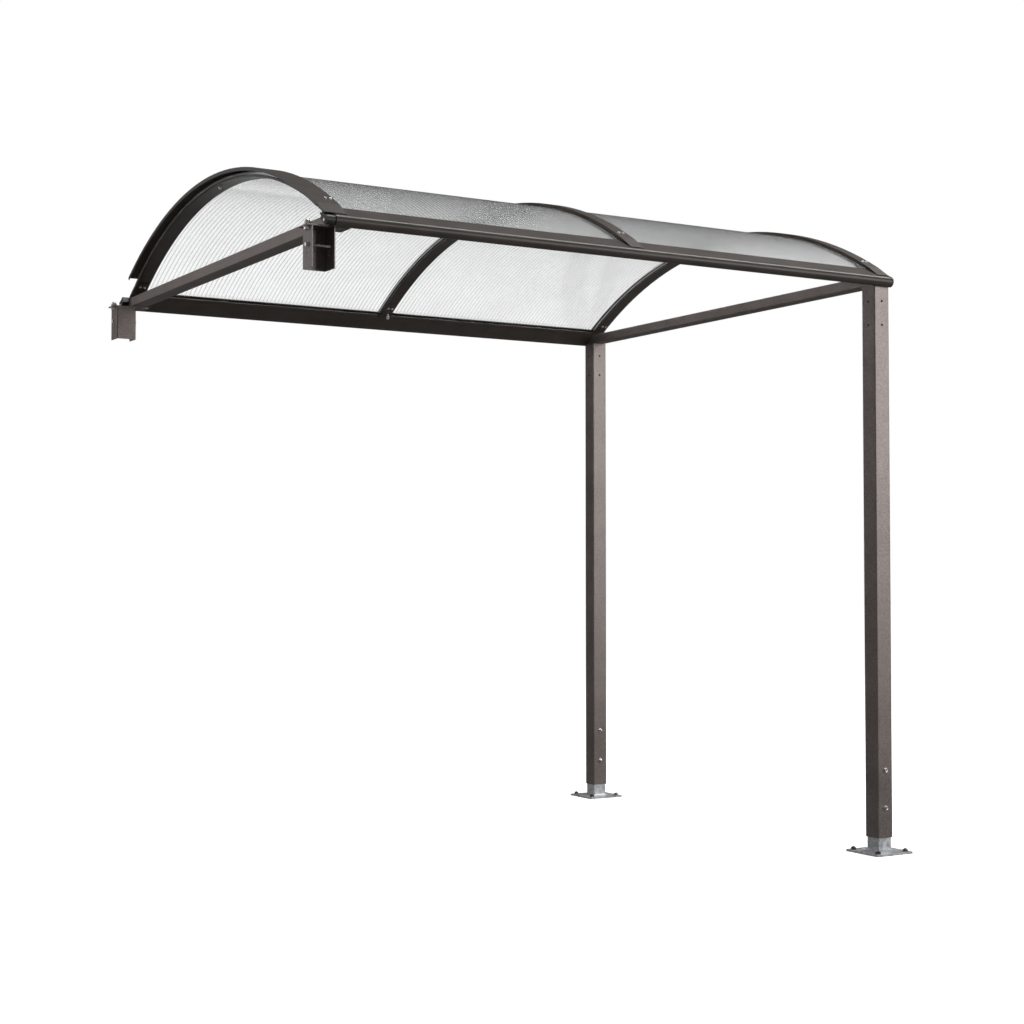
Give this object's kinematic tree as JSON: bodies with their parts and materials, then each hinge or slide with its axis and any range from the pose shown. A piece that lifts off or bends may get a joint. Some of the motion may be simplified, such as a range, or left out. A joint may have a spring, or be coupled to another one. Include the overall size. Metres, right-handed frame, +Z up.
{
  "type": "bike shelter extension bay",
  "caption": "Vaulted bike shelter extension bay: posts on foot plates at one end, clasp brackets for a neighbour's posts at the other, translucent curved roof panels on ribs.",
  "frame": {"origin": "middle of the front foot plate's underside, on the ground", "axes": "+Z up, +X along the bay from the bracket end to the post end, +Y from front to back"},
  "size_m": [2.72, 2.36, 2.7593],
  "materials": {
    "galvanised_steel": "satin",
    "painted_steel": "satin",
    "painted_aluminium": "satin",
    "dark_plastic": "matte",
    "dark_metal": "matte",
    "seal_rubber": "matte",
    "twin_wall_sheet": "gloss"
  },
  "bodies": {
    "root": {"front_foot_plate": "galvanised_steel", "back_foot_plate": "galvanised_steel", "front_foot_stub": "galvanised_steel", "back_foot_stub": "galvanised_steel", "front_post": "painted_steel", "back_post": "painted_steel", "front_post_plate": "painted_steel", "back_post_plate": "painted_steel", "left_cross_beam": "painted_steel", "right_cross_beam": "painted_steel", "front_channel": "painted_steel", "back_channel": "painted_steel", "front_channel_plate": "painted_steel", "back_channel_plate": "painted_steel", "front_beam": "painted_aluminium", "back_beam": "painted_aluminium", "left_rib": "painted_aluminium", "middle_rib": "painted_aluminium", "right_rib": "painted_aluminium", "left_cap": "painted_aluminium", "middle_cap": "painted_aluminium", "right_cap": "painted_aluminium", "front_left_rib_bracket": "painted_aluminium", "front_middle_rib_bracket": "painted_aluminium", "front_right_rib_bracket": "painted_aluminium", "back_left_rib_bracket": "painted_aluminium", "back_middle_rib_bracket": "painted_aluminium", "back_right_rib_bracket": "painted_aluminium", "front_beam_end_cap": "dark_plastic", "back_beam_end_cap": "dark_plastic", "front_splice_insert": "dark_metal", "back_splice_insert": "dark_metal", "left_rib_seals": "seal_rubber", "middle_rib_seals": "seal_rubber", "right_rib_seals": "seal_rubber", "left_panel": "twin_wall_sheet", "right_panel": "twin_wall_sheet"}
  },
  "joints": []
}
